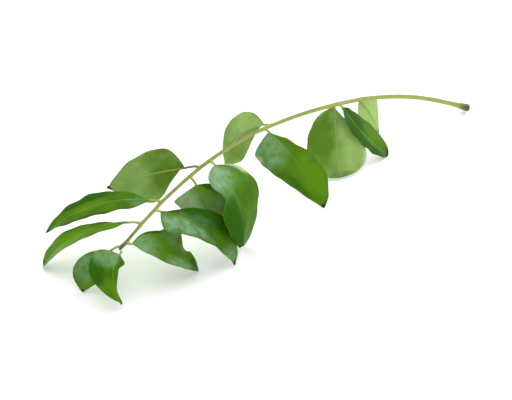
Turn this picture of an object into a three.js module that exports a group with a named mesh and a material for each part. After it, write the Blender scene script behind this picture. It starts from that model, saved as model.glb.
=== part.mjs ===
// A curry leaf sprig: one compound leaf lying on its drooping leaflets.
// Millimetres, +Z up. X runs along the sprig, towards the cut foot of its stalk.
// The leaflets stand alternately on the left (-Y) and the right (+Y) of the stalk.

import * as THREE from 'three';

const { degToRad } = THREE.MathUtils;
const UP = new THREE.Vector3(0, 0, 1);

// Stalk
const STALK_LINE = [ // its middle line, from the cut foot to the thin end
  [101.5, -18.2, 1.9],
  [90.5, -14.2, 7.8],
  [73.5, -11.7, 16.5],
  [50.5, -10.2, 25.5],
  [25.5, -10.7, 33],
  [0.5, -10.7, 37.7],
  [-19.5, -9.7, 38.6],
  [-41.5, -8.2, 35.3],
  [-63.5, -7.7, 28.3],
  [-88.5, -10.2, 19.5],
];
const STALK_RADIUS = 0.95; // just past the swollen foot
const STALK_TAPER = 0.35; // what the radius loses on the way to the thin end
const FOOT_SWELL = 0.6; // what the swelling adds to the radius at the cut
const FOOT_SWELL_LENGTH = 5;
const STALK_SIDES = 10;
const STALK_STEPS = 60;

// Leaflets
const GAP = 0.4; // clear space between the stalk and a leaflet
const PETIOLULE_WIDTH = 0.9;
const PETIOLULE_THICKNESS = 0.8;
const BLADE_THICKNESS = 0.35;
const TIP_WIDTH = 0.3;
const BLADE_STEPS = 20;
const HALF_BLADE_STEPS = 2;
const USUAL = {
  petiolule: 2, // length of its own short stalk
  tip: 0.25, // height of its tip: low enough to rest on the surface below
  sweep: 0, // how much its turn away from the stalk changes on the way
  tucked: false, // whether it hangs back under the stalk
  widest: 0.42, // where along the blade
  taper: 0.9, // 1 is a straight taper, and more is a drawn out tip
  oblique: 0, // how much nearer the base the half towards the stalk's thin end is widest
  footHalf: 1, // how wide the half towards the cut foot is beside the other half
};
// at: distance along the stalk; side: 1 left, -1 right; spread: turn away from the stalk's direction
// bend: how much steeper the tip falls than the base; fold: how far each half of the blade is raised
// roll: turn about the midrib, upper side towards the stalk's thin end. Angles are in degrees.
const LEAFLETS = {
  leaflet_01: { at: 65, side: -1, length: 26, width: 17.5, spread: 177, bend: 15, roll: 112, fold: 3,
    tip: 4.5, widest: 0.4, taper: 1.15, oblique: 0.18 },
  leaflet_02: { at: 79, side: 1, length: 39, width: 12, spread: 167, bend: -15, roll: 50, fold: 10,
    petiolule: 1, widest: 0.5, taper: 0.5, oblique: 0.09 },
  leaflet_03: { at: 79.5, side: -1, length: 30.5, width: 25, spread: 117, bend: 25, roll: 0, fold: 8,
    petiolule: 1.5, tip: 1.5, tucked: true, widest: 0.65, taper: 0.43, oblique: 0.09 },
  leaflet_04: { at: 118, side: -1, length: 35, width: 15, spread: 81, bend: 55, roll: -100, fold: 7,
    petiolule: 1.5, tip: 10.8, widest: 0.5, taper: 0.95, oblique: 0.12 },
  leaflet_05: { at: 121, side: 1, length: 44, width: 22.5, spread: 146, bend: 20, roll: 85, fold: 5,
    petiolule: 1, widest: 0.38, taper: 0.85, oblique: 0.2, footHalf: 0.65 },
  leaflet_06: { at: 149, side: 1, length: 41.5, width: 23, spread: 96, bend: 98, roll: -14, fold: 7,
    petiolule: 1.5, widest: 0.31, taper: 1, oblique: 0.05, footHalf: 1.15 },
  leaflet_07: { at: 154, side: -1, length: 32.5, width: 23.5, spread: 47.5, bend: 20, roll: -80, fold: 5,
    petiolule: 5, tip: 22.3, taper: 1.1, oblique: 0.16, footHalf: 1.2 },
  leaflet_08: { at: 159.7, side: 1, length: 27, width: 21.5, spread: 113, bend: 25, roll: 48, fold: 4,
    petiolule: 3, tip: 5.5, widest: 0.25, taper: 0.8, oblique: 0.23 },
  leaflet_09: { at: 175, side: -1, length: 47, width: 12.3, spread: 55.5, bend: 55, roll: 18, fold: 12,
    petiolule: 3.3, tip: 9, widest: 0.47, taper: 0.83, oblique: 0.08, footHalf: 0.9 },
  leaflet_10: { at: 179, side: 1, length: 40, width: 22, spread: 130, bend: 72, roll: 29, fold: 20,
    petiolule: 1, widest: 0.31, taper: 1.13, oblique: 0.29, footHalf: 0.8 },
  leaflet_11: { at: 187, side: -1, length: 43, width: 14.8, spread: 59.5, bend: 66, roll: 12, fold: 19,
    petiolule: 4.2, widest: 0.66, taper: 0.5, oblique: 0.12, footHalf: 0.6 },
  leaflet_12: { at: 197, side: 1, length: 35, width: 15.5, spread: 152.5, bend: 54, roll: 31, fold: 14,
    petiolule: 1, widest: 0.47, taper: 0.87, footHalf: 0.84 },
  leaflet_13: { at: 199.5, side: -1, length: 22, width: 13.5, spread: 40, bend: 45, sweep: -25, roll: 45,
    fold: 20, petiolule: 3, widest: 0.48, taper: 1, oblique: 0.1 },
  end_leaflet: { at: 200.5, side: 1, length: 20, width: 19, spread: 45, bend: 30, sweep: 135, roll: -5,
    fold: 10, tip: 2.5, widest: 0.22, taper: 1.05, footHalf: 0.2 },
};

const stalkLine = new THREE.CatmullRomCurve3(STALK_LINE.map((point) => new THREE.Vector3(...point)));
const stalkLength = stalkLine.getLength();

function stalkRadius(distance) {
  const swelling = FOOT_SWELL * Math.exp(-((distance / FOOT_SWELL_LENGTH) ** 2));
  return STALK_RADIUS - STALK_TAPER * (distance / stalkLength) + swelling;
}

// Moves every corner of a geometry to where place says.
function reshape(geometry, place) {
  const position = geometry.attributes.position;
  const corner = new THREE.Vector3();
  for (let i = 0; i < position.count; i += 1) {
    place(corner.fromBufferAttribute(position, i));
    position.setXYZ(i, corner.x, corner.y, corner.z);
  }
  geometry.computeVertexNormals();
  return geometry;
}

// A cylinder of length 1 and radius 1, laid along the stalk's line and thickened to its radius.
function stalkGeometry() {
  const cylinder = new THREE.CylinderGeometry(1, 1, 1, STALK_SIDES, STALK_STEPS);
  return reshape(cylinder, (corner) => {
    const share = THREE.MathUtils.clamp(corner.y + 0.5, 0, 1);
    const radius = stalkRadius(share * stalkLength);
    const along = stalkLine.getTangentAt(share);
    const across = new THREE.Vector3().crossVectors(UP, along).normalize();
    const above = new THREE.Vector3().crossVectors(along, across);
    const { x, z } = corner;
    corner.copy(stalkLine.getPointAt(share));
    corner.addScaledVector(above, x * radius).addScaledVector(across, z * radius);
  });
}

// How wide half a blade is beside its widest place, share of the way from its base to its tip.
function outline(share, widest, taper) {
  if (share <= 0 || share >= 1) {
    return 0;
  }
  const rounding = (taper * widest) / (1 - widest);
  return (share / widest) ** rounding * ((1 - share) / (1 - widest)) ** taper;
}

// A leaflet's midrib falls from the stalk to the height of its tip, turning as it goes.
function midrib(leaflet) {
  const start = stalkLine.getPointAt(leaflet.at / stalkLength);
  const ahead = stalkLine.getTangentAt(leaflet.at / stalkLength).setZ(0).normalize();
  const left = new THREE.Vector3().crossVectors(UP, ahead);
  const reach = leaflet.petiolule + leaflet.length;
  const halfBend = degToRad(leaflet.bend) / 2;
  const steepness = Math.asin((start.z - leaflet.tip) / (reach * Math.sin(halfBend) / halfBend));
  const middleFall = leaflet.tucked ? Math.PI - steepness : steepness;
  const roll = degToRad(leaflet.roll) * leaflet.side;

  const directions = (share) => {
    const fall = middleFall + halfBend * (2 * share - 1);
    const turn = degToRad(leaflet.spread + leaflet.sweep * (share - 0.5));
    const out = ahead.clone().multiplyScalar(Math.cos(turn));
    out.addScaledVector(left, leaflet.side * Math.sin(turn));
    const along = out.clone().multiplyScalar(Math.cos(fall)).addScaledVector(UP, -Math.sin(fall));
    const upper = out.clone().multiplyScalar(Math.sin(fall)).addScaledVector(UP, Math.cos(fall));
    upper.applyAxisAngle(along, roll);
    return { along, upper, across: new THREE.Vector3().crossVectors(along, upper) };
  };

  const aside = stalkRadius(leaflet.at) + GAP + PETIOLULE_WIDTH / 2;
  const place = start.clone().addScaledVector(left, leaflet.side * aside);
  const stations = [{ place: place.clone(), ...directions(0) }];
  for (let step = 1; step <= BLADE_STEPS; step += 1) {
    place.addScaledVector(directions((step - 0.5) / BLADE_STEPS).along, reach / BLADE_STEPS);
    stations.push({ place: place.clone(), ...directions(step / BLADE_STEPS) });
  }
  return stations;
}

// A thin box laid along the midrib: narrow and thick in the petiolule, wide and thin in the blade.
function leafletGeometry(leaflet) {
  const stations = midrib(leaflet);
  const reach = leaflet.petiolule + leaflet.length;
  const box = new THREE.BoxGeometry(1, 1, 1, BLADE_STEPS, 2 * HALF_BLADE_STEPS, 1);
  return reshape(box, (corner) => {
    const step = Math.round((corner.x + 0.5) * BLADE_STEPS);
    const { place, upper, across } = stations[step];
    const share = (reach * step / BLADE_STEPS - leaflet.petiolule) / leaflet.length;
    const isBlade = share > 0;
    const leastWidth = share < 0.5 ? PETIOLULE_WIDTH : TIP_WIDTH;
    const isThinEndHalf = corner.y * leaflet.side < 0;
    const widest = leaflet.widest + (isThinEndHalf ? -leaflet.oblique : leaflet.oblique);
    const fullWidth = leaflet.width * (isThinEndHalf ? 1 : leaflet.footHalf);
    const width = Math.max(leastWidth, fullWidth * outline(share, widest, leaflet.taper));
    const thickness = isBlade ? BLADE_THICKNESS : PETIOLULE_THICKNESS;
    const fold = isBlade ? degToRad(leaflet.fold) : 0;
    const aside = corner.y * width;
    const lift = corner.z * thickness + Math.abs(aside) * Math.sin(fold);
    corner.copy(place).addScaledVector(across, -aside * Math.cos(fold)).addScaledVector(upper, lift);
  });
}

const green = new THREE.MeshStandardMaterial({ color: 0x4c8326, roughness: 0.4, metalness: 0 });
const yellowGreen = new THREE.MeshStandardMaterial({ color: 0x8f9c4a, roughness: 0.5, metalness: 0 });

const sprig = new THREE.Group();
const stalk = new THREE.Mesh(stalkGeometry(), yellowGreen);
stalk.name = 'stalk';
sprig.add(stalk);
for (const [name, growth] of Object.entries(LEAFLETS)) {
  const mesh = new THREE.Mesh(leafletGeometry({ ...USUAL, ...growth }), green.clone());
  mesh.name = name;
  sprig.add(mesh);
}

export default sprig;
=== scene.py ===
import math

import bmesh
import bpy
from mathutils import Matrix, Vector, geometry, noise


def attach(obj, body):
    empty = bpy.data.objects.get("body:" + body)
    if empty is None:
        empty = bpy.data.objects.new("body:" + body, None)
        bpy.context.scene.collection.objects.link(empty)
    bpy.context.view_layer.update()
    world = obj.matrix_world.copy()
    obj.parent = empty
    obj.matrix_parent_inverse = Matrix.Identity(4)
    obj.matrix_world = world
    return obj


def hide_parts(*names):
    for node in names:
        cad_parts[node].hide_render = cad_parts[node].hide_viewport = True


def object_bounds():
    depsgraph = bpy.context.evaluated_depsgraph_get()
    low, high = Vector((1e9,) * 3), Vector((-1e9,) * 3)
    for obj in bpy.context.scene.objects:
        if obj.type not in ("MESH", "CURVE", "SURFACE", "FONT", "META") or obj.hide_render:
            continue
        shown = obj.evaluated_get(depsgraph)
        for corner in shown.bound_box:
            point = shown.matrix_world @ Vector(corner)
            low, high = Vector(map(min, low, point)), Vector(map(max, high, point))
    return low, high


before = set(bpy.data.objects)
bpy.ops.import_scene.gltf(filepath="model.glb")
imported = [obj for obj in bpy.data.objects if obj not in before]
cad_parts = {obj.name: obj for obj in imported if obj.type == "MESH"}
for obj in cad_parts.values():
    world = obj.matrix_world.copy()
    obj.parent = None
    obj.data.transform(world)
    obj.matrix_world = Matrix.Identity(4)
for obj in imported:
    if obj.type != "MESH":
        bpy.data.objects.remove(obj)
cad_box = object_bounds()

# Camera: a long lens, looking down on the sprig from beyond its near side and its thin end.
VIEW_TURN = math.radians(-45)
VIEW_HEIGHT = math.radians(34)
VIEW_DISTANCE = 0.97
LENS = 174
AIM = Vector((-0.0181, -0.0121, -0.0124))  # from the middle of the sprig's box, m

level = math.cos(VIEW_HEIGHT)
to_camera = Vector((math.sin(VIEW_TURN) * level, -math.cos(VIEW_TURN) * level, math.sin(VIEW_HEIGHT)))
camera = bpy.data.objects.new("camera", bpy.data.cameras.new("camera"))
camera.data.lens = LENS
camera.location = (cad_box[0] + cad_box[1]) / 2 + AIM + VIEW_DISTANCE * to_camera
camera.rotation_euler = (-to_camera).to_track_quat("-Z", "Y").to_euler()
bpy.context.collection.objects.link(camera)
bpy.context.scene.camera = camera
bpy.context.scene.view_settings.view_transform = "Standard"


# Studio: a matt white table top, a big soft light above and behind, and white walls all round
# that fill the shadows.
def linear(colour):
    """Turns an sRGB hex colour into the linear colour that a shader reads."""
    parts = [int(colour[i:i + 2], 16) / 255 for i in (1, 3, 5)]
    return (*[c / 12.92 if c <= 0.04045 else ((c + 0.055) / 1.055) ** 2.4 for c in parts], 1)


def add(tree, kind, inputs=(), stops=(), **settings):
    """Adds a shader node; inputs gives sockets a value or a link, and stops fills a colour ramp.

    Sockets that share a name go by number: a colour Mix takes its colours on 6 and 7 and gives 2.
    """
    node = tree.nodes.new("ShaderNode" + kind)
    for key, value in settings.items():
        setattr(node, key, value)
    for key, value in dict(inputs).items():
        if isinstance(value, bpy.types.NodeSocket):
            tree.links.new(value, node.inputs[key])
        else:
            node.inputs[key].default_value = value
    for i, (position, colour) in enumerate(stops):
        elements = node.color_ramp.elements
        stop = elements[i] if i < 2 else elements.new(position)
        stop.position, stop.color = position, linear(colour)
    return node


def new_finish(name):
    """An empty material, and its node tree."""
    finish = bpy.data.materials.new(name)
    finish.use_nodes = True
    finish.node_tree.nodes.clear()
    return finish, finish.node_tree


def shape_to_object(name, shape, finishes):
    """Makes an object of a bmesh, smoothly shaded, with its finishes in order."""
    for face in shape.faces:
        face.smooth = True
    mesh = bpy.data.meshes.new(name)
    shape.to_mesh(mesh)
    shape.free()
    piece = bpy.data.objects.new(name, mesh)
    bpy.context.collection.objects.link(piece)
    for finish in finishes:
        mesh.materials.append(finish)
    return piece


TABLE_HALF_WIDTH = 3.0
PAINT_PATCH = 0.33  # how far the paint runs before its white changes a little, m
SOFT_LIGHT = {"place": (1.15, 0.1, 0.6), "size": 1.0, "power": 9.0}
TOP_LIGHT = {"place": (0.0, 0.2, 1.5), "size": 2.6, "power": 24.0}
WALL_COLOUR = "#f7f9fc"
WALL_BRIGHTNESS = 0.85

# Matt white paint: it has next to no shine, so that only the sprig's soft shadow shows on it.
table_paint, tree = new_finish("matt white table top")
grain = add(tree, "TexNoise", {
    "Vector": add(tree, "TexCoord").outputs["Object"], "Scale": 1 / PAINT_PATCH})
paint = add(tree, "ValToRGB", {"Fac": grain.outputs["Fac"]}, [(0.3, "#f8f8f7"), (0.7, "#fbfbfa")])
board = add(tree, "BsdfPrincipled", {"Base Color": paint.outputs["Color"], "Roughness": 0.9,
                                     "Specular IOR Level": 0.2})
add(tree, "OutputMaterial", {"Surface": board.outputs["BSDF"]})
shape = bmesh.new()
bmesh.ops.create_grid(shape, x_segments=4, y_segments=4, size=TABLE_HALF_WIDTH)
table_top = shape_to_object("table_top", shape, [table_paint])

for name, light in {"soft_light": SOFT_LIGHT, "top_light": TOP_LIGHT}.items():
    lamp = bpy.data.lights.new(name, "AREA")
    lamp.shape = "SQUARE"
    lamp.size = light["size"]
    lamp.energy = light["power"]
    holder = bpy.data.objects.new(name, lamp)
    holder.location = light["place"]
    holder.rotation_euler = (-Vector(light["place"])).to_track_quat("-Z", "Y").to_euler()
    bpy.context.collection.objects.link(holder)

walls = bpy.data.worlds.new("white walls")
walls.use_nodes = True
wall_light = walls.node_tree.nodes["Background"].inputs
wall_light["Color"].default_value = linear(WALL_COLOUR)
wall_light["Strength"].default_value = WALL_BRIGHTNESS
bpy.context.scene.world = walls


# Stalk: the midrib of the whole compound leaf, a fresh green rod that is stiff and faintly ribbed.
# It is olive brown along its upper side and swollen and brown where it was cut from the twig.
MM = 0.001
UP = Vector((0, 0, 1))
STALK_LINE = [  # its middle line from the cut foot to the thin end, mm
    (101.5, -18.2, 1.9), (90.5, -14.2, 7.8), (73.5, -11.7, 16.5), (50.5, -10.2, 25.5), (25.5, -10.7, 33),
    (0.5, -10.7, 37.7), (-19.5, -9.7, 38.6), (-41.5, -8.2, 35.3), (-63.5, -7.7, 28.3), (-88.5, -10.2, 19.5),
]
STALK_RADIUS = 0.95  # just past the swollen foot
STALK_TAPER = 0.35  # what the radius loses on the way to the thin end
STALK_SIDES = 30
STALK_STEPS = 320
FOOT_SWELL = 0.6  # what the swelling adds to the radius at the cut
FOOT_SWELL_LENGTH = 5
END_ROUNDING = 1.0  # the length over which the thin end rounds off
END_STUB = 0.15  # how far short of a point the rounding stops
RIBS = 7
RIB_HEIGHT = 0.035
KNUCKLE_HEIGHT = 0.3  # the swelling that each leaflet grows from
KNUCKLE_LENGTH = 2.0
CUT_RINGS = (0.12, 0.5)  # widths of the two outer rings of the cut, as shares of its radius
CUT_HOLLOW = 0.0015  # how deep the middle of the cut has shrunk, as a share of the stalk's length
LOOK_AHEAD = 0.7  # how far each way a line is followed to find its direction
STREAK_LENGTH = 5.2  # the fibres that show through the skin
STREAK_WIDTH = 0.2
BROWNING_HEIGHTS = (0.4, 0.9)  # from where to where it browns: 0 is its side, and 1 its top
BROWNING_LENGTH = 11.1  # how far the brown of the upper side runs before it fades
PORE_SPACING = 1.11
FOOT_BROWN_ENDS = (-2.5, 3.5)  # from where to where the brown of the foot fades
FOOT_BROWN_RAGGED = 7.0  # how much further it runs along some fibres
DARK_END = (190.0, 201.0)  # from where to where the thin end darkens
WOOD_GRAIN = 0.4  # fibre bundles in the cut; the real ones are half as wide, too fine to show
SKIN = "#8c9c2c"
BROWNED_SKIN = "#524c16"
FIBRE = "#a9b766"
PORE = "#4f4d22"
FOOT_BROWN = "#464a10"
END_BROWN = "#34331f"
GROWS_AT = {  # where each leaflet grows: mm from the foot, and on which side, 1 left and -1 right
    "leaflet_01": (65, -1), "leaflet_02": (79, 1), "leaflet_03": (79.5, -1), "leaflet_04": (118, -1),
    "leaflet_05": (121, 1), "leaflet_06": (149, 1), "leaflet_07": (154, -1), "leaflet_08": (159.7, 1),
    "leaflet_09": (175, -1), "leaflet_10": (179, 1), "leaflet_11": (187, -1), "leaflet_12": (197, 1),
    "leaflet_13": (199.5, -1), "end_leaflet": (200.5, 1),
}


def smooth_line(points, steps=30):
    """A smooth line through points (centripetal Catmull-Rom), with the distance to each place on it."""
    points = [Vector(p) for p in points]
    ends = [2 * points[0] - points[1], *points, 2 * points[-1] - points[-2]]
    places = [points[0]]
    for before, here, there, after in zip(ends, ends[1:], ends[2:], ends[3:]):
        first, middle, last = [(b - a).length ** 0.5 for a, b in
                               ((before, here), (here, there), (there, after))]
        leave = ((here - before) / first - (there - before) / (first + middle)
                 + (there - here) / middle) * middle
        arrive = ((there - here) / middle - (after - here) / (middle + last)
                  + (after - there) / last) * middle
        places += geometry.interpolate_bezier(
            here, here + leave / 3, there - arrive / 3, there, steps + 1)[1:]
    distances = [0.0]
    for a, b in zip(places, places[1:]):
        distances.append(distances[-1] + (b - a).length)
    return places, distances


def on_line(line, distance):
    """The place at a distance along a smooth line."""
    places, distances = line
    distance = min(max(distance, 0.0), distances[-1])
    low, high = 0, len(distances) - 1
    while high - low > 1:
        middle = (low + high) // 2
        low, high = (middle, high) if distances[middle] <= distance else (low, middle)
    share = (distance - distances[low]) / (distances[high] - distances[low])
    return places[low].lerp(places[high], share)


def heading(line, distance):
    """The direction of a smooth line at a distance along it."""
    before = on_line(line, max(distance - LOOK_AHEAD, 0))
    after = on_line(line, min(distance + LOOK_AHEAD, line[1][-1]))
    return (after - before).normalized()


stalk_line = smooth_line(STALK_LINE)
stalk_length = stalk_line[1][-1]


def stalk_radius(distance):
    """The stalk's radius at a distance from its foot, without its ribs and knuckles."""
    swelling = FOOT_SWELL * math.exp(-((distance / FOOT_SWELL_LENGTH) ** 2))
    return STALK_RADIUS - STALK_TAPER * distance / stalk_length + swelling


def rod(sides, steps):
    """A rod of length 1 and radius 1 along Z, with steps that it can be bent at."""
    shape = bmesh.new()
    bmesh.ops.create_cone(shape, cap_ends=True, segments=sides, radius1=1, radius2=1, depth=1)
    long_edges = [e for e in shape.edges if abs(e.verts[0].co.z - e.verts[1].co.z) > 0.5]
    bmesh.ops.subdivide_edges(shape, edges=long_edges, cuts=steps - 1)
    return shape


# Fresh green stalk: living skin, smooth and a little shiny, with pale fibres drawn along it and dark
# pores. The light has browned it above and at its thin end, and it has dried brown beside the cut.
green_rod, tree = new_finish("fresh green stalk")
body = add(tree, "Attribute", attribute_name="stalk_mm")  # distance, height to its side, turn
split = add(tree, "SeparateXYZ", {"Vector": body.outputs["Vector"]})
streaks_round = STALK_RADIUS / STREAK_WIDTH
streaks = add(tree, "Mapping", {
    "Vector": body.outputs["Vector"], "Scale": (1 / STREAK_LENGTH, streaks_round, streaks_round)})
streak = add(tree, "TexNoise", {"Vector": streaks.outputs["Vector"], "Scale": 1.0, "Detail": 4.0})
patches = add(tree, "TexNoise", {
    "Vector": body.outputs["Vector"], "Scale": 1 / BROWNING_LENGTH, "Detail": 2.0})
specks = add(tree, "TexVoronoi", {
    "Vector": add(tree, "TexCoord").outputs["Object"], "Scale": 1 / (PORE_SPACING * MM)})
top_side = add(tree, "MapRange", {
    0: split.outputs["Y"], 1: BROWNING_HEIGHTS[0], 2: BROWNING_HEIGHTS[1]},
    interpolation_type="SMOOTHSTEP")
uneven = add(tree, "Math", {0: patches.outputs["Fac"], 1: 1.6, 2: -0.1}, operation="MULTIPLY_ADD")
browned = add(tree, "Math", {0: top_side.outputs[0], 1: uneven.outputs[0]}, operation="MULTIPLY",
              use_clamp=True)
olive = add(tree, "Mix", {0: browned.outputs[0], 6: linear(SKIN), 7: linear(BROWNED_SKIN)},
            data_type="RGBA")
fibres = add(tree, "MapRange", {0: streak.outputs["Fac"], 1: 0.35, 2: 0.75, 3: 0.0, 4: 0.45})
fibred = add(tree, "Mix", {0: fibres.outputs[0], 6: olive.outputs[2], 7: linear(FIBRE)},
             data_type="RGBA")
pored = add(tree, "MapRange", {0: specks.outputs["Distance"], 1: 0.10, 2: 0.24, 3: 0.35, 4: 0.0})
speckled = add(tree, "Mix", {0: pored.outputs[0], 6: fibred.outputs[2], 7: linear(PORE)},
               data_type="RGBA")
ragged = add(tree, "Math", {
    0: streak.outputs["Fac"], 1: -FOOT_BROWN_RAGGED, 2: split.outputs["X"]}, operation="MULTIPLY_ADD")
foot = add(tree, "MapRange", {
    0: ragged.outputs[0], 1: FOOT_BROWN_ENDS[0], 2: FOOT_BROWN_ENDS[1], 3: 1.0, 4: 0.0},
    interpolation_type="SMOOTHSTEP")
footed = add(tree, "Mix", {0: foot.outputs[0], 6: speckled.outputs[2], 7: linear(FOOT_BROWN)},
             data_type="RGBA")
far = add(tree, "MapRange", {0: split.outputs["X"], 1: DARK_END[0], 2: DARK_END[1], 3: 0.0, 4: 0.8},
          interpolation_type="SMOOTHSTEP")
ended = add(tree, "Mix", {0: far.outputs[0], 6: footed.outputs[2], 7: linear(END_BROWN)},
            data_type="RGBA")
ridges = add(tree, "Bump", {"Strength": 0.6, "Distance": 0.08 * MM, "Height": streak.outputs["Fac"]})
skin = add(tree, "BsdfPrincipled", {
    "Base Color": ended.outputs[2], "Roughness": 0.48, "IOR": 1.45, "Normal": ridges.outputs["Normal"]})
add(tree, "OutputMaterial", {"Surface": skin.outputs["BSDF"]})

# Cut woody fibre: sliced across and dried, so it is tan, dull and finely mottled, with no shine.
cut_wood, tree = new_finish("cut woody fibre")
mottle = add(tree, "TexNoise", {
    "Vector": add(tree, "TexCoord").outputs["Object"], "Scale": 1 / (WOOD_GRAIN * MM), "Detail": 3.0})
tan = add(tree, "ValToRGB", {"Fac": mottle.outputs["Fac"]}, [(0.3, "#8d7a45"), (0.7, "#c2b27a")])
fibre_bump = add(tree, "Bump", {"Strength": 0.5, "Distance": 0.1 * MM, "Height": mottle.outputs["Fac"]})
dry = add(tree, "BsdfPrincipled", {"Base Color": tan.outputs["Color"], "Roughness": 0.8,
                                   "Normal": fibre_bump.outputs["Normal"]})
add(tree, "OutputMaterial", {"Surface": dry.outputs["BSDF"]})

shape = rod(STALK_SIDES, STALK_STEPS)
foot_end = [f for f in shape.faces if all(v.co.z < -0.499 for v in f.verts)]
for width in CUT_RINGS:
    bmesh.ops.inset_region(shape, faces=foot_end, thickness=width, use_even_offset=True)
    for face in foot_end:
        face.material_index = 1
bmesh.ops.translate(shape, verts=foot_end[0].verts, vec=UP * CUT_HOLLOW)
stalk_mm = shape.verts.layers.float_vector.new("stalk_mm")
knuckles = list(GROWS_AT.values())[:-1]  # the end leaflet grows straight on, without one
for vert in shape.verts:
    distance = (vert.co.z + 0.5) * stalk_length
    along = heading(stalk_line, distance)
    left = UP.cross(along).normalized()
    above = along.cross(left)
    turn = math.atan2(vert.co.x, vert.co.y)
    middle_share = math.hypot(vert.co.x, vert.co.y)
    radius = stalk_radius(distance) + RIB_HEIGHT * math.cos(RIBS * turn)
    for at, side in knuckles:
        facing = max(0.0, math.cos(turn) * side)
        radius += KNUCKLE_HEIGHT * facing ** 2 * math.exp(-(((distance - at) / KNUCKLE_LENGTH) ** 2))
    to_end = max(0.0, stalk_length + END_STUB - distance)
    radius *= min(1.0, math.sqrt(to_end / END_ROUNDING))
    place = on_line(stalk_line, distance)
    outward = left * math.cos(turn) + above * math.sin(turn)
    vert[stalk_mm] = (distance, math.sin(turn) * middle_share, turn)
    vert.co = (place + outward * radius * middle_share) * MM
bmesh.ops.recalc_face_normals(shape, faces=shape.faces)
stem = shape_to_object("stalk_stem", shape, [green_rod, cut_wood])
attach(stem, "root")
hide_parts("stalk")


# Leaflets: each is a thin waxy blade, glossy above and matt and paler below, grown on a short stalk
# of its own that runs on as the blade's midrib. They hang from the stalk down to the table.
USUAL = {
    "petiolule": 2,  # length of its own stalk
    "tip": 0.25,  # height of its tip: low enough to rest on the table
    "sweep": 0,  # how much its spread changes on the way, degrees
    "tucked": False,  # whether it hangs back under the stalk
    "widest": 0.42,  # where along the blade
    "taper": 0.9,  # 1 is a straight taper, and more is a drawn out tip
    "oblique": 0,  # how much nearer the base the half towards the stalk's thin end is widest
    "foot_half": 1,  # how wide the half towards the cut foot is beside the other half
    "shoulder": 0.13,  # share of the length over which the base rounds out
    "tip_bend": 0,  # how far the tip bends to the left
    "dark_tip": 1,  # how brown its point is
    "droop": 0.1,  # how much each half curves down
    "wave": 0.12,  # height of the waves in its margin
    # Its shade is partly its own green and partly painted light and shade, for how lit it lies.
    "shade": 0.5,  # 0 is deep green, and 1 bright green
    "rib": "green",  # colour of its own stalk
}
# Spread is a leaflet's turn away from the stalk's direction, bend is how much steeper its tip falls
# than its base, roll is its turn about its midrib, upper side towards the stalk's thin end, and fold
# is how far each half of its blade is raised, all in degrees. Lengths and widths are in mm.
LEAFLETS = {
    "leaflet_01": {"length": 26, "width": 17.5, "spread": 177, "bend": 15, "roll": 112, "fold": 3,
        "tip": 4.5, "widest": 0.4, "taper": 1.15, "oblique": 0.18, "shade": 1.0},
    "leaflet_02": {"length": 39, "width": 12, "spread": 167, "bend": -15, "roll": 50, "fold": 10,
        "petiolule": 1, "widest": 0.5, "taper": 0.5, "oblique": 0.09, "shade": 0.35},
    "leaflet_03": {"length": 30.5, "width": 25, "spread": 117, "bend": 25, "roll": 0, "fold": 8,
        "petiolule": 1.5, "tip": 1.5, "tucked": True, "widest": 0.65, "taper": 0.43, "oblique": 0.09,
        "dark_tip": 0, "shade": 0.45},
    "leaflet_04": {"length": 35, "width": 15, "spread": 81, "bend": 55, "roll": -100, "fold": 7,
        "petiolule": 1.5, "tip": 10.8, "widest": 0.5, "taper": 0.95, "oblique": 0.12, "dark_tip": 0,
        "shade": 0.5},
    "leaflet_05": {"length": 44, "width": 22.5, "spread": 146, "bend": 20, "roll": 85, "fold": 5,
        "petiolule": 1, "widest": 0.38, "taper": 0.85, "oblique": 0.2, "foot_half": 0.65, "shade": 0.75},
    "leaflet_06": {"length": 41.5, "width": 23, "spread": 96, "bend": 98, "roll": -14, "fold": 7,
        "petiolule": 1.5, "widest": 0.31, "taper": 1, "oblique": 0.05, "foot_half": 1.15,
        "tip_bend": 4.0, "shade": 0.5},
    "leaflet_07": {"length": 32.5, "width": 23.5, "spread": 47.5, "bend": 20, "roll": -80, "fold": 5,
        "petiolule": 5, "tip": 22.3, "taper": 1.1, "oblique": 0.16, "foot_half": 1.2, "shade": 0.4,
        "rib": "brown"},
    "leaflet_08": {"length": 27, "width": 21.5, "spread": 113, "bend": 25, "roll": 48, "fold": 4,
        "petiolule": 3, "tip": 5.5, "widest": 0.25, "taper": 0.8, "oblique": 0.23, "shoulder": 0.06,
        "shade": 1.0},
    "leaflet_09": {"length": 47, "width": 12.3, "spread": 55.5, "bend": 55, "roll": 18, "fold": 12,
        "petiolule": 3.3, "tip": 9, "widest": 0.47, "taper": 0.83, "oblique": 0.08, "foot_half": 0.9,
        "shade": 0.4},
    "leaflet_10": {"length": 40, "width": 22, "spread": 130, "bend": 72, "roll": 29, "fold": 20,
        "petiolule": 1, "widest": 0.31, "taper": 1.13, "oblique": 0.29, "foot_half": 0.8,
        "tip_bend": 2.5, "shade": 0.45, "rib": "yellow"},
    "leaflet_11": {"length": 43, "width": 14.8, "spread": 59.5, "bend": 66, "roll": 12, "fold": 19,
        "petiolule": 4.2, "widest": 0.66, "taper": 0.5, "oblique": 0.12, "foot_half": 0.6,
        "shade": 0.65},
    "leaflet_12": {"length": 35, "width": 15.5, "spread": 152.5, "bend": 54, "roll": 31, "fold": 14,
        "petiolule": 1, "widest": 0.47, "taper": 0.87, "foot_half": 0.84, "shade": 0.75},
    "leaflet_13": {"length": 22, "width": 13.5, "spread": 40, "bend": 45, "sweep": -25, "roll": 45,
        "fold": 20, "petiolule": 3, "widest": 0.48, "taper": 1, "oblique": 0.1, "shade": 0.6},
    "end_leaflet": {"length": 20, "width": 19, "spread": 45, "bend": 30, "sweep": 135, "roll": -5,
        "fold": 10, "tip": 2.5, "widest": 0.22, "taper": 1.05, "foot_half": 0.2, "shade": 0.5},
}
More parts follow.
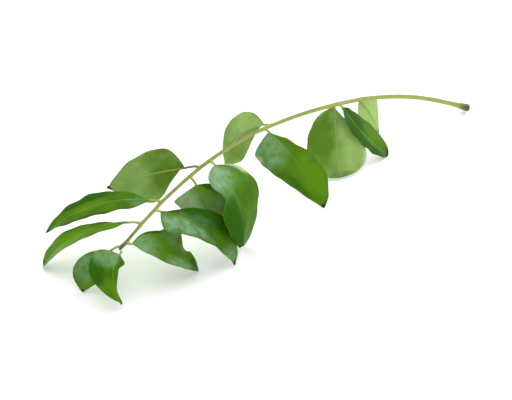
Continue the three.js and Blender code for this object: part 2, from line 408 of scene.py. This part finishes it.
# Where each leaflet differs from its usual green. Each patch is a kind, its middle and its half
# sizes, as shares of the length (0 base, 1 tip) and of the half width (1 left margin, -1 right), and
# how much of it there is. The gloss kind is a painted highlight, the pale bluish reflection of the
# soft light on the shiny parts, which are also made a little smoother. "light" is painted light,
# brighter green where a part lies lit or lit from behind, and painted shade, deeper green where it
# is negative and a part lies in shadow. "brown" is dried, and "pale" is whitish green, as where a
# margin rolls over and shows its underside, and a painted highlight on leaflet_08.
PATCHES = {
    "leaflet_02": [("light", 0.65, 0.3, 0.3, 0.9, 0.3), ("light", 0.2, 0, 0.35, 1.5, -0.5),
                   ("light", 0.55, -0.8, 0.45, 0.7, -0.5), ("brown", 0.97, 0, 0.08, 1.5, 0.7)],
    "leaflet_03": [("light", 0.5, -0.7, 0.6, 0.8, 0.4), ("light", 0.4, 0.6, 0.5, 0.7, -0.45),
                   ("brown", 1.0, -0.15, 0.09, 1.0, 1.6), ("pale", 0.82, -1.0, 0.2, 0.14, 1.0)],
    "leaflet_04": [("light", 0.25, 0.5, 0.35, 0.8, 0.35), ("light", 0.8, -0.2, 0.3, 0.9, -0.25)],
    "leaflet_05": [("painted_gloss", 0.12, -0.6, 0.3, 0.9, 0.9), ("light", 0.65, 0.4, 0.35, 0.7, 0.3),
                   ("light", 0.6, -0.8, 0.35, 0.4, -0.45), ("pale", 0.16, -1.0, 0.07, 0.15, 0.9)],
    "leaflet_06": [("painted_gloss", 0.1, -0.5, 0.25, 1.1, 1.0), ("light", 0.66, -0.6, 0.4, 0.75, -1.2),
                   ("light", 0.45, 0.8, 0.35, 0.6, -0.1), ("pale", 0.12, 1.0, 0.13, 0.3, 1.3)],
    "leaflet_07": [("light", 0.2, 0, 0.35, 1.5, -0.35), ("light", 0.75, 0, 0.4, 1.3, 0.25),
                   ("brown", 0.1, -0.3, 0.16, 0.5, 0.25)],
    # Its pale patches are painted highlights where it shines, not rolled margins.
    "leaflet_08": [("painted_gloss", 0.2, -0.7, 0.4, 0.7, 1.6), ("light", 0.1, 0.8, 0.2, 0.5, -0.9),
                   ("painted_gloss", 0.6, 0.3, 0.4, 0.9, 0.7), ("pale", 0.3, -0.7, 0.4, 0.6, 0.5),
                   ("pale", 0.55, 0.1, 0.5, 1.0, 0.15)],
    "leaflet_09": [("painted_gloss", 0.06, 0, 0.14, 1.2, 0.45), ("light", 0.55, -0.1, 0.25, 0.6, 0.35),
                   ("light", 0.6, -0.8, 0.35, 0.6, -0.6),
                   ("brown", 0.6, 1.0, 0.5, 0.3, 1.5), ("brown", 0.8, -1.0, 0.3, 0.3, 1.2),
                   ("brown", 0.52, 1.0, 0.03, 0.3, 3.0)],
    "leaflet_10": [("painted_gloss", 0.3, -0.5, 0.42, 0.55, 1.1), ("light", 0.4, 0.6, 0.4, 0.6, -0.6),
                   ("painted_gloss", 0.3, 0.3, 0.3, 0.4, 0.3), ("painted_gloss", 0.88, -0.1, 0.16, 1.2, 0.7)],
    "leaflet_11": [("light", 0.6, 0.2, 0.3, 0.8, 0.45), ("brown", 0.4, -1.0, 0.6, 0.4, 1.3)],
    "leaflet_12": [("painted_gloss", 0.12, -0.1, 0.3, 1.2, 0.65), ("painted_gloss", 0.55, 0.7, 0.22, 0.7, 0.8),
                   ("light", 0.9, 0, 0.12, 1.2, -0.6), ("painted_gloss", 0.62, -0.7, 0.25, 0.45, 1.0),
                   ("light", 0.25, 1.0, 0.2, 0.25, -0.9)],
    "leaflet_13": [("painted_gloss", 0.45, -0.2, 0.5, 1.0, 0.7), ("brown", 0.25, -1.0, 0.2, 0.3, 0.8)],
    "end_leaflet": [("painted_gloss", 0.1, -0.3, 0.22, 0.9, 0.8), ("light", 0.38, -0.85, 0.22, 0.55, -1.1),
                    ("light", 0.7, 0.3, 0.35, 1.0, 0.3)],
}
# Where a margin runs out of the usual outline: side (1 left, -1 right), from and to which share of
# the length, by how many mm, and over which share it comes back.
MARGINS = {
    "leaflet_06": [(1, 0.16, 0.42, 1.8, 0.2), (-1, 0.3, 0.31, -3.2, 0.12), (-1, 0.5, 0.62, 3.0, 0.12),
                   (-1, 0.8, 0.86, 1.6, 0.08)],
    "leaflet_12": [(1, 0.5, 0.62, 4.0, 0.06), (1, 0.7, 0.71, -2.6, 0.1)],
    "end_leaflet": [(1, 0.1, 0.12, 2.4, 0.2)],
}
CLEARANCE = 0.85  # from the stalk's side to the middle of a leaflet's own stalk, mm
MIDRIB_STEPS = 60
RIB_RADIUS = 0.45  # of the leaflet's own stalk
RIB_SIDES = 12
RIB_STEPS = 70
RIB_END = 0.97  # how far along the blade it shows
RIB_THINNING = 0.85  # the share of its radius that it loses on the way
RIB_THINNING_CURVE = 0.8  # below 1, it loses more of that near the base
RIB_FLARE = 0.15  # what it widens by where it grows from the big stalk
RIB_BEND = 1.5  # the length over which it turns away from the big stalk
RIB_SUNK = 0.85  # how far it lies below the blade, as a share of its radius
RIB_SINKS_FROM = 0.4  # where on its free length it starts to sink
RIB_SINKS_BY = 1.5  # how far into the blade it is sunk fully
RIB_GREEN = "#8aa048"  # where it has entered the blade
RIB_TONES = {"green": "#8f9f4a", "brown": "#7c4a26", "yellow": "#a8a836"}  # nearer the stalk
BLADE_STEPS = 120
BLADE_ROWS = 40
ROW_CROWDING = 1.25  # above 1, the rows lie closer together at the midrib
BLADE_THICKNESS = 0.26
EDGE_THINNING = 0.6
BASE = 0.3  # half the width of the base, mm
NIB = 0.8  # half the width of the blunt little point at the tip, mm
NIB_ROUNDING = 30
NIB_END = 0.15  # how wide the nib still is at its end, as a share of its width
TIP_BEND_SHARES = (0.72, 1.05)  # over which share of the length a tip bends aside
TEETH_BEGIN = (0.08, 0.2)  # over which share of the length the margin's teeth and wander set in
TEETH_END = (0.88, 0.96)
TOOTH_DEPTH = 0.08
TOOTH_LENGTH = 1.3
MARGIN_WANDER = 0.7
MARGIN_WANDER_LENGTH = 6
LEFT_MARGIN, RIGHT_MARGIN = 3.0, -3.0  # keeps the two margins' wander apart
RUN_OUT = 0.15  # over which share of the length a margin leaves its usual outline
BODY_BEGINS = (0.0, 0.15)  # over which share of the length waves, swells and groove set in
BODY_ENDS = (0.85, 1.0)
WAVE_LENGTH = 9
WAVE_SHIFT = 1.7  # radians from one leaflet's waves to the next one's
LEFT_WAVE_SHIFT = 2.1  # and from the right margin's waves to the left one's
SWELL_HEIGHT = 0.7  # the slow unevenness of the blade
SWELL_LENGTH = 11
GROOVE_DEPTH = 0.1  # the groove above the midrib
GROOVE_WIDTH = 0.45
VEIN_SPACING = 2.6
VEIN_LEAN = 0.7
VEIN_CURVE = 0.025
QUILTING = 0.02  # how high the blade is raised between its side veins
QUILTING_BEGINS = 1.2  # mm from the midrib
DARK_TIP_SHARES = (0.94, 0.97)
DARK_TIP_WIDTHS = (1.2, 2.6)
PATCH_FADE = (0.4, 1.08)  # from where to where a patch fades, as shares of its half sizes
SEED_STEP = 7.3  # how far one leaflet's patterns lie from the next one's
VEIN_WIDTHS = (0.03, 0.13)  # how far from its middle a side vein fades, as shares of the spacing
VEIN_ENDS = (0.55, 0.97)  # from where to where they fade out, as shares of the half width
VEIN_STRAY = 0.3  # how far a side vein strays, as a share of the spacing
VEIN_WANDER = 2.9  # how far it runs before it strays
MIDRIB_WIDTHS = (0.42, 0.12)  # half its width on the blade, at the base and at the tip
NET_SIZE = 1.0  # one mesh of the vein net
GLAND_SPACING = 0.77  # the oil glands; the real ones are closer, too fine to show
NET_RELIEF = 0.35  # how high the net stands beside the side veins
CLOUD_SIZE = 7.1  # the slow changes of green
CLOUD_CONTRAST = 1.1
DRIFT_SIZE = 3.33  # how the painted highlight and the brown are broken up
FINE_GRAIN = 0.25  # the skin's own grain; the real cells are finer, too fine to show
RIB_STREAK_LENGTH = 1.33  # the fibres of the leaflet's own stalk
RIB_STREAK_WIDTH = 0.05


def ease(value, low, high):
    """0 below low, 1 above high, and smooth between."""
    share = min(max((value - low) / (high - low), 0.0), 1.0)
    return share * share * (3 - 2 * share)


def midrib(leaf):
    """The places along a leaflet's midrib, and the directions along it and out of its upper side."""
    start = on_line(stalk_line, leaf["at"])
    ahead = heading(stalk_line, leaf["at"])
    ahead = Vector((ahead.x, ahead.y, 0)).normalized()
    left = UP.cross(ahead)
    side = leaf["side"]
    reach = leaf["petiolule"] + leaf["length"]
    half_bend = math.radians(leaf["bend"]) / 2
    steepness = math.asin((start.z - leaf["tip"]) / (reach * math.sin(half_bend) / half_bend))
    middle_fall = math.pi - steepness if leaf["tucked"] else steepness

    def directions(share):
        fall = middle_fall + half_bend * (2 * share - 1)
        turn = math.radians(leaf["spread"] + leaf["sweep"] * (share - 0.5))
        out = ahead * math.cos(turn) + left * side * math.sin(turn)
        along = out * math.cos(fall) - UP * math.sin(fall)
        upper = out * math.sin(fall) + UP * math.cos(fall)
        return along, Matrix.Rotation(math.radians(leaf["roll"]) * side, 3, along) @ upper

    place = start + left * side * (stalk_radius(leaf["at"]) + CLEARANCE)
    stations = [(place.copy(), *directions(0))]
    for step in range(MIDRIB_STEPS):
        place += directions((step + 0.5) / MIDRIB_STEPS)[0] * reach / MIDRIB_STEPS
        stations.append((place.copy(), *directions((step + 1) / MIDRIB_STEPS)))
    return start, stations


def on_midrib(stations, share):
    """The place and directions at a share of the way along a midrib."""
    step = min(max(share, 0.0), 1.0) * MIDRIB_STEPS
    low = min(int(step), MIDRIB_STEPS - 1)
    here, there = stations[low], stations[low + 1]
    place, along, upper = [a.lerp(b, step - low) for a, b in zip(here, there)]
    return place, along.normalized(), upper.normalized()


def outline(share, widest, taper, shoulder):
    """How wide half a blade is beside its widest place."""
    if not 0 < share < 1:
        return 0.0
    rounding = taper * widest / (1 - widest)
    rounded = math.sqrt(1 - max(0.0, 1 - share / shoulder) ** 2)
    return rounded * (share / widest) ** rounding * ((1 - share) / (1 - widest)) ** taper


def patch_amount(node, kind, share, aside):
    """How much of a kind of patch a leaflet has at a place on its blade."""
    amount = 0.0
    for patch, along, across, half_length, half_width, strength in PATCHES.get(node, []):
        if patch == kind:
            away = math.hypot((share - along) / half_length, (aside - across) / half_width)
            amount += strength * (1 - ease(away, *PATCH_FADE))
    return amount


def vein_phase(distance, across, is_left):
    """Whole numbers along the side veins, which leave the midrib at a slant and curve to the tip."""
    slant = across * VEIN_LEAN + across * across * VEIN_CURVE
    return (distance - slant) / VEIN_SPACING + (0.5 if is_left else 0.0)


def vein_pattern(tree):
    """The masks that both sides of a blade share. The side veins run where vein_phase says."""
    blade_mm = add(tree, "Attribute", attribute_name="blade_mm").outputs["Vector"]
    growth = add(tree, "Attribute", attribute_name="growth").outputs["Vector"]
    patches = add(tree, "Attribute", attribute_name="patches").outputs["Vector"]
    tip = add(tree, "Attribute", attribute_name="dark_tip").outputs["Fac"]
    distance, aside, edge = add(tree, "SeparateXYZ", {"Vector": blade_mm}).outputs
    # shade carries the leaflet's green together with its painted light and shade.
    share, shade, seed = add(tree, "SeparateXYZ", {"Vector": growth}).outputs
    gloss_patches, dried, pale = add(tree, "SeparateXYZ", {"Vector": patches}).outputs
    across = add(tree, "Math", {0: aside}, operation="ABSOLUTE").outputs[0]
    is_left = add(tree, "Math", {0: aside, 1: 0.0}, operation="GREATER_THAN").outputs[0]
    apart = add(tree, "CombineXYZ", {0: seed, 1: seed}).outputs[0]
    place = add(tree, "VectorMath", {0: blade_mm, 1: apart}, operation="ADD").outputs[0]

    # The side veins
    wander = add(tree, "TexNoise", {
        "Vector": place, "Scale": 1 / VEIN_WANDER, "Detail": 1.0}).outputs["Fac"]
    curve = add(tree, "Math", {0: across, 1: VEIN_CURVE, 2: VEIN_LEAN},
                operation="MULTIPLY_ADD").outputs[0]
    slant = add(tree, "Math", {0: across, 1: curve}, operation="MULTIPLY").outputs[0]
    before = add(tree, "Math", {0: distance, 1: slant}, operation="SUBTRACT").outputs[0]
    spaced = add(tree, "Math", {0: before, 1: VEIN_SPACING}, operation="DIVIDE").outputs[0]
    shifted = add(tree, "Math", {0: is_left, 1: 0.5, 2: spaced}, operation="MULTIPLY_ADD").outputs[0]
    wandered = add(tree, "Math", {0: wander, 1: VEIN_STRAY, 2: shifted},
                   operation="MULTIPLY_ADD").outputs[0]
    centred = add(tree, "Math", {0: wandered, 1: VEIN_STRAY / 2}, operation="SUBTRACT").outputs[0]
    nearest = add(tree, "Math", {0: centred, 1: 0.5}, operation="PINGPONG").outputs[0]
    line = add(tree, "MapRange", {
        0: nearest, 1: VEIN_WIDTHS[0], 2: VEIN_WIDTHS[1], 3: 1.0, 4: 0.0},
        interpolation_type="SMOOTHSTEP").outputs[0]
    inside = add(tree, "MapRange", {
        0: edge, 1: VEIN_ENDS[0], 2: VEIN_ENDS[1], 3: 1.0, 4: 0.0}).outputs[0]
    veins = add(tree, "Math", {0: line, 1: inside}, operation="MULTIPLY").outputs[0]

    # The fine net between them, the oil glands, the midrib and the rim
    net_cells = add(tree, "TexVoronoi", {"Vector": place, "Scale": 1 / NET_SIZE},
                    feature="DISTANCE_TO_EDGE").outputs["Distance"]
    net = add(tree, "MapRange", {0: net_cells, 1: 0.02, 2: 0.14, 3: 1.0, 4: 0.0}).outputs[0]
    gland_cells = add(tree, "TexVoronoi", {
        "Vector": place, "Scale": 1 / GLAND_SPACING}).outputs["Distance"]
    glands = add(tree, "MapRange", {0: gland_cells, 1: 0.1, 2: 0.22, 3: 1.0, 4: 0.0}).outputs[0]
    rib_width = add(tree, "MapRange", {
        0: share, 1: 0.0, 2: 1.0, 3: MIDRIB_WIDTHS[0], 4: MIDRIB_WIDTHS[1]}).outputs[0]
    rib_share = add(tree, "Math", {0: across, 1: rib_width}, operation="DIVIDE").outputs[0]
    rib = add(tree, "MapRange", {0: rib_share, 1: 0.45, 2: 1.0, 3: 1.0, 4: 0.0},
              interpolation_type="SMOOTHSTEP").outputs[0]
    margin = add(tree, "MapRange", {0: edge, 1: 0.95, 2: 0.995}).outputs[0]

    # The clouds in its green, the grain of its skin, and its painted highlight and brown, broken up in
    # places
    clouds = add(tree, "TexNoise", {
        "Vector": place, "Scale": 1 / CLOUD_SIZE, "Detail": 3.0}).outputs["Fac"]
    fine = add(tree, "TexNoise", {
        "Vector": place, "Scale": 1 / FINE_GRAIN, "Detail": 2.0}).outputs["Fac"]
    drift = add(tree, "TexNoise", {
        "Vector": place, "Scale": 1 / DRIFT_SIZE, "Detail": 4.0, "Roughness": 0.6}).outputs["Fac"]
    parted = add(tree, "MapRange", {0: drift, 1: 0.25, 2: 0.65}).outputs[0]
    # The painted highlight: the soft light's reflection, painted pale bluish grey where its patches lie.
    painted_gloss = add(tree, "Math", {0: gloss_patches, 1: parted}, operation="MULTIPLY", use_clamp=True).outputs[0]
    brown = add(tree, "Math", {0: dried, 1: parted}, operation="MULTIPLY", use_clamp=True).outputs[0]
    return {"veins": veins, "net": net, "glands": glands, "rib": rib, "margin": margin, "tip": tip,
            "painted_gloss": painted_gloss, "brown": brown, "pale": pale, "shade": shade, "clouds": clouds,
            "fine": fine}


def blade_finish(name, colours, roughness, vein_show, vein_height, rib_show, through):
    """A leaf skin: its green in clouds, its veins, glands and dark point, and light through it."""
    finish, tree = new_finish(name)
    at = vein_pattern(tree)
    # Deep to bright green from shade, which holds painted light and shade, and from the clouds.
    cloudy = add(tree, "Math", {0: at["clouds"], 1: CLOUD_CONTRAST, 2: -CLOUD_CONTRAST / 2},
                 operation="MULTIPLY_ADD").outputs[0]
    depth = add(tree, "Math", {0: at["shade"], 1: cloudy}, operation="ADD", use_clamp=True).outputs[0]
    colour = add(tree, "Mix", {0: depth, 6: linear(colours["deep"]), 7: linear(colours["bright"])},
                 data_type="RGBA").outputs[2]
    for mask, tone, amount in (
            ("net", "vein", 0.1), ("veins", "vein", vein_show), ("glands", "gland", 0.3),
            ("rib", "rib", rib_show), ("margin", "margin", 0.5), ("painted_gloss", "painted_gloss", 0.8),
            ("pale", "pale", 0.9), ("brown", "brown", 0.8), ("tip", "tip", 1.0)):
        covered = add(tree, "Math", {0: at[mask], 1: amount}, operation="MULTIPLY").outputs[0]
        colour = add(tree, "Mix", {0: covered, 6: colour, 7: linear(colours[tone])},
                     data_type="RGBA").outputs[2]
    relief = add(tree, "Math", {0: at["veins"], 1: vein_height, 2: at["fine"]},
                 operation="MULTIPLY_ADD").outputs[0]
    netted = add(tree, "Math", {0: at["net"], 1: vein_height * NET_RELIEF, 2: relief},
                 operation="MULTIPLY_ADD").outputs[0]
    bump = add(tree, "Bump", {"Strength": 0.5, "Distance": 0.06 * MM, "Height": netted}).outputs["Normal"]
    dull = add(tree, "MapRange", {
        0: at["fine"], 1: 0.3, 2: 0.7, 3: roughness - 0.05, 4: roughness + 0.07}).outputs[0]
    shaded = add(tree, "MapRange", {0: at["shade"], 1: -0.5, 2: 0.1, 3: 0.5, 4: 0.0}).outputs[0]
    duller = add(tree, "Math", {0: dull, 1: shaded}, operation="ADD").outputs[0]
    sheen = add(tree, "Math", {0: at["painted_gloss"], 1: -0.1, 2: duller}, operation="MULTIPLY_ADD").outputs[0]
    skin = add(tree, "BsdfPrincipled", {
        "Base Color": colour, "Roughness": sheen, "IOR": 1.45, "Specular IOR Level": 0.1,
        "Normal": bump}).outputs["BSDF"]
    glow = add(tree, "Mix", {0: 0.5, 6: colour, 7: linear(colours["through"])},
               data_type="RGBA").outputs[2]
    behind = add(tree, "BsdfTranslucent", {"Color": glow, "Normal": bump}).outputs["BSDF"]
    both = add(tree, "MixShader", {0: through, 1: skin, 2: behind}).outputs["Shader"]
    add(tree, "OutputMaterial", {"Surface": both})
    return finish


# Waxy upper side: a tough skin under a thin coat of wax. Its deep green shines softly, its veins show
# only faintly, and a little light comes through from behind.
# Its gloss colour, pale bluish grey, is a painted highlight: the soft light's reflection on the shiny
# parts.
waxy_upper = blade_finish(
    "waxy leaf upper side",
    {"deep": "#285a00", "bright": "#5c8a00", "vein": "#5c8424", "gland": "#336006", "rib": "#74942a",
     "margin": "#4f7218", "painted_gloss": "#86ac86", "brown": "#47480c", "pale": "#b4c48c", "tip": "#33270f",
     "through": "#7cb000"},
    roughness=0.38, vein_show=0.08, vein_height=-0.8, rib_show=0.35, through=0.12)

# Matt underside: soft skin with no wax on it, over cells full of air. It is pale and greyish, has no
# shine, and its veins stand up.
# Its gloss colour, greyish green, is a painted highlight too.
matt_under = blade_finish(
    "matt leaf underside",
    {"deep": "#5c841a", "bright": "#a3c670", "vein": "#9cb873", "gland": "#64883c", "rib": "#adc279",
     "margin": "#808f42", "painted_gloss": "#a4ba9b", "brown": "#6a5a3a", "pale": "#bdca9c", "tip": "#382b15",
     "through": "#8cb414"},
    roughness=0.6, vein_show=0.1, vein_height=0.8, rib_show=0.6, through=0.15)

# Leaflet stalk: young fibre under a thin skin, smooth, a little shiny and finely streaked along its
# length. Its base has a colour of its own, and it turns green where it enters the blade.
rib_finishes = {}
for tone, colour in RIB_TONES.items():
    rib_finishes[tone], tree = new_finish(tone + " leaflet stalk")
    place = add(tree, "Attribute", attribute_name="blade_mm").outputs["Vector"]
    drawn = add(tree, "Mapping", {"Vector": place, "Scale": (
        1 / RIB_STREAK_LENGTH, RIB_RADIUS / RIB_STREAK_WIDTH, 1.0)}).outputs["Vector"]
    streak = add(tree, "TexNoise", {"Vector": drawn, "Scale": 1.0, "Detail": 3.0}).outputs["Fac"]
    distance = add(tree, "SeparateXYZ", {"Vector": place}).outputs["X"]
    base = add(tree, "MapRange", {0: distance, 1: -1.0, 2: 6.0, 3: 1.0, 4: 0.0}).outputs[0]
    green = add(tree, "Mix", {0: base, 6: linear(RIB_GREEN), 7: linear(colour)},
                data_type="RGBA").outputs[2]
    light = add(tree, "MapRange", {0: streak, 1: 0.4, 2: 0.8, 3: 0.0, 4: 0.4}).outputs[0]
    streaked = add(tree, "Mix", {0: light, 6: green, 7: linear(FIBRE)}, data_type="RGBA").outputs[2]
    bump = add(tree, "Bump", {"Strength": 0.4, "Distance": 0.05 * MM, "Height": streak})
    skin = add(tree, "BsdfPrincipled", {"Base Color": streaked, "Roughness": 0.5, "IOR": 1.45,
                                        "Normal": bump.outputs["Normal"]})
    add(tree, "OutputMaterial", {"Surface": skin.outputs["BSDF"]})


def bent_aside(leaf, share):
    """How far a leaflet's tip has bent to the left at a share of its length."""
    return leaf["tip_bend"] * ease(share, *TIP_BEND_SHARES)


def midrib_rod(leaf, start, stations, seed):
    """A leaflet's own stalk and midrib: a rod that tapers to the tip, sunk into the underside."""
    petiolule, length = leaf["petiolule"], leaf["length"]
    reach = petiolule + length
    corner = stations[0][0]
    past_corner = on_midrib(stations, RIB_BEND / reach)[0]
    grown_in = (corner - start).length
    whole = grown_in + petiolule + length * RIB_END
    shape = rod(RIB_SIDES, RIB_STEPS)
    blade_mm = shape.verts.layers.float_vector.new("blade_mm")
    grown = shape.verts.layers.float_vector.new("growth")
    for vert in shape.verts:
        distance = (vert.co.z + 0.5) * whole - grown_in - petiolule
        from_corner = distance + petiolule
        here, along, upper = on_midrib(stations, from_corner / reach)
        corner_share = (from_corner + grown_in) / (grown_in + RIB_BEND)
        if corner_share < 1:
            before = start.lerp(corner, corner_share)
            after = corner.lerp(past_corner, corner_share)
            here = before.lerp(after, corner_share)
        right = along.cross(upper)
        share = max(0.0, distance / length)
        radius = RIB_RADIUS * (1 - RIB_THINNING * share ** RIB_THINNING_CURVE)
        radius += RIB_FLARE * (1 - ease(from_corner, -0.5, RIB_BEND))
        sunk = ease(from_corner, petiolule * RIB_SINKS_FROM, petiolule + RIB_SINKS_BY)
        below = radius * RIB_SUNK * sunk
        vert[blade_mm] = (distance, vert.co.x, 0)
        vert[grown] = (share, leaf["shade"], seed.x)
        outward = right * vert.co.x + upper * vert.co.y
        vert.co = (here + outward * radius - upper * below - right * bent_aside(leaf, share)) * MM
    for face in shape.faces:
        face.material_index = 2
    mesh = bpy.data.meshes.new("rod")
    shape.to_mesh(mesh)
    shape.free()
    return mesh


def half_width(node, leaf, share, is_left, seed):
    """How wide one half of a blade is at a share of its length, in mm."""
    thin_end_half = is_left == (leaf["side"] < 0)
    widest = leaf["widest"] + (-leaf["oblique"] if thin_end_half else leaf["oblique"])
    whole_width = leaf["width"] * (1 if thin_end_half else leaf["foot_half"])
    half = whole_width / 2 * outline(share, widest, leaf["taper"], leaf["shoulder"])
    distance = share * leaf["length"]
    toothed = ease(share, *TEETH_BEGIN) * (1 - ease(share, *TEETH_END))
    half += TOOTH_DEPTH * toothed * (abs(math.sin(math.pi * distance / TOOTH_LENGTH)) - 0.5)
    place = Vector((distance / MARGIN_WANDER_LENGTH, LEFT_MARGIN if is_left else RIGHT_MARGIN, 0))
    half += MARGIN_WANDER * noise.noise(place + seed) * toothed
    for side, begin, end, more, back in MARGINS.get(node, []):
        if (side > 0) == is_left:
            half += more * ease(share, begin - RUN_OUT, begin) * (1 - ease(share, end, end + back))
    nib = NIB * min(1.0, math.sqrt((1 - share) * NIB_ROUNDING) + NIB_END)
    return max(half, BASE if share < 0.5 else nib)


def blade_sheet(node, leaf, number, stations, seed):
    """A blade: one sheet, drawn out to its outline, folded along its midrib, waved and quilted."""
    petiolule, length = leaf["petiolule"], leaf["length"]
    slope = math.radians(leaf["fold"])
    shape = bmesh.new()
    blade_mm = shape.verts.layers.float_vector.new("blade_mm")
    grown = shape.verts.layers.float_vector.new("growth")
    patchy = shape.verts.layers.float_vector.new("patches")
    dark_tip = shape.verts.layers.float.new("dark_tip")
    bmesh.ops.create_grid(shape, x_segments=BLADE_STEPS, y_segments=BLADE_ROWS, size=0.5)
    sheet = bmesh.ops.extrude_face_region(shape, geom=list(shape.faces), use_keep_orig=True)["geom"]
    bmesh.ops.translate(shape, verts=[v for v in sheet if isinstance(v, bmesh.types.BMVert)], vec=UP)
    for face in shape.faces:
        face.material_index = 0 if all(v.co.z > 0.5 for v in face.verts) else 1
    for vert in shape.verts:
        share = vert.co.x + 0.5
        distance = share * length
        is_left = vert.co.y > 0
        edge = abs(2 * vert.co.y) ** ROW_CROWDING
        aside = edge if is_left else -edge
        across = half_width(node, leaf, share, is_left, seed) * edge
        signed = across if is_left else -across
        place, along, upper = on_midrib(stations, (petiolule + distance) / (petiolule + length))
        right = along.cross(upper)

        body = ease(share, *BODY_BEGINS) * (1 - ease(share, *BODY_ENDS))
        wave_shift = number * WAVE_SHIFT + (LEFT_WAVE_SHIFT if is_left else 0)
        wave = math.sin(distance / WAVE_LENGTH * 2 * math.pi + wave_shift)
        swell = noise.noise(Vector((distance / SWELL_LENGTH, signed / SWELL_LENGTH, 0)) + seed)
        quilt = 0.5 - 0.5 * math.cos(2 * math.pi * vein_phase(distance, across, is_left))
        lift = across * math.sin(slope) - leaf["droop"] * across * across / leaf["width"] * 2
        lift += leaf["wave"] * edge * edge * wave * body
        lift += SWELL_HEIGHT * swell * edge * body
        lift += QUILTING * quilt * min(1.0, across / QUILTING_BEGINS) * (1 - edge ** 4)
        lift -= GROOVE_DEPTH * math.exp(-((across / GROOVE_WIDTH) ** 2)) * body
        lift += (vert.co.z - 0.5) * BLADE_THICKNESS * (1 - EDGE_THINNING * edge ** 8)

        vert[blade_mm] = (distance, signed, edge)
        # Its green, with the painted light and shade of its "light" patches added.
        vert[grown] = (share, leaf["shade"] + patch_amount(node, "light", share, aside), seed.x)
        vert[patchy] = [patch_amount(node, kind, share, aside) for kind in ("painted_gloss", "brown", "pale")]
        tip_middle = 1 - ease(across, *DARK_TIP_WIDTHS)
        vert[dark_tip] = leaf["dark_tip"] * ease(share, *DARK_TIP_SHARES) * tip_middle
        sideways = signed * math.cos(slope) + bent_aside(leaf, share)
        vert.co = (place - right * sideways + upper * lift) * MM
    return shape


for number, (node, growth) in enumerate(LEAFLETS.items(), 1):
    at, side = GROWS_AT[node]
    leaf = {**USUAL, **growth, "at": at, "side": side}
    start, stations = midrib(leaf)
    seed = Vector((SEED_STEP * number, 0, 0))
    own_stalk = midrib_rod(leaf, start, stations, seed)
    shape = blade_sheet(node, leaf, number, stations, seed)
    shape.from_mesh(own_stalk)
    bpy.data.meshes.remove(own_stalk)
    bmesh.ops.recalc_face_normals(shape, faces=shape.faces)
    piece = shape_to_object(node + "_blade", shape, [waxy_upper, matt_under, rib_finishes[leaf["rib"]]])
    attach(piece, "root")
    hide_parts(node)
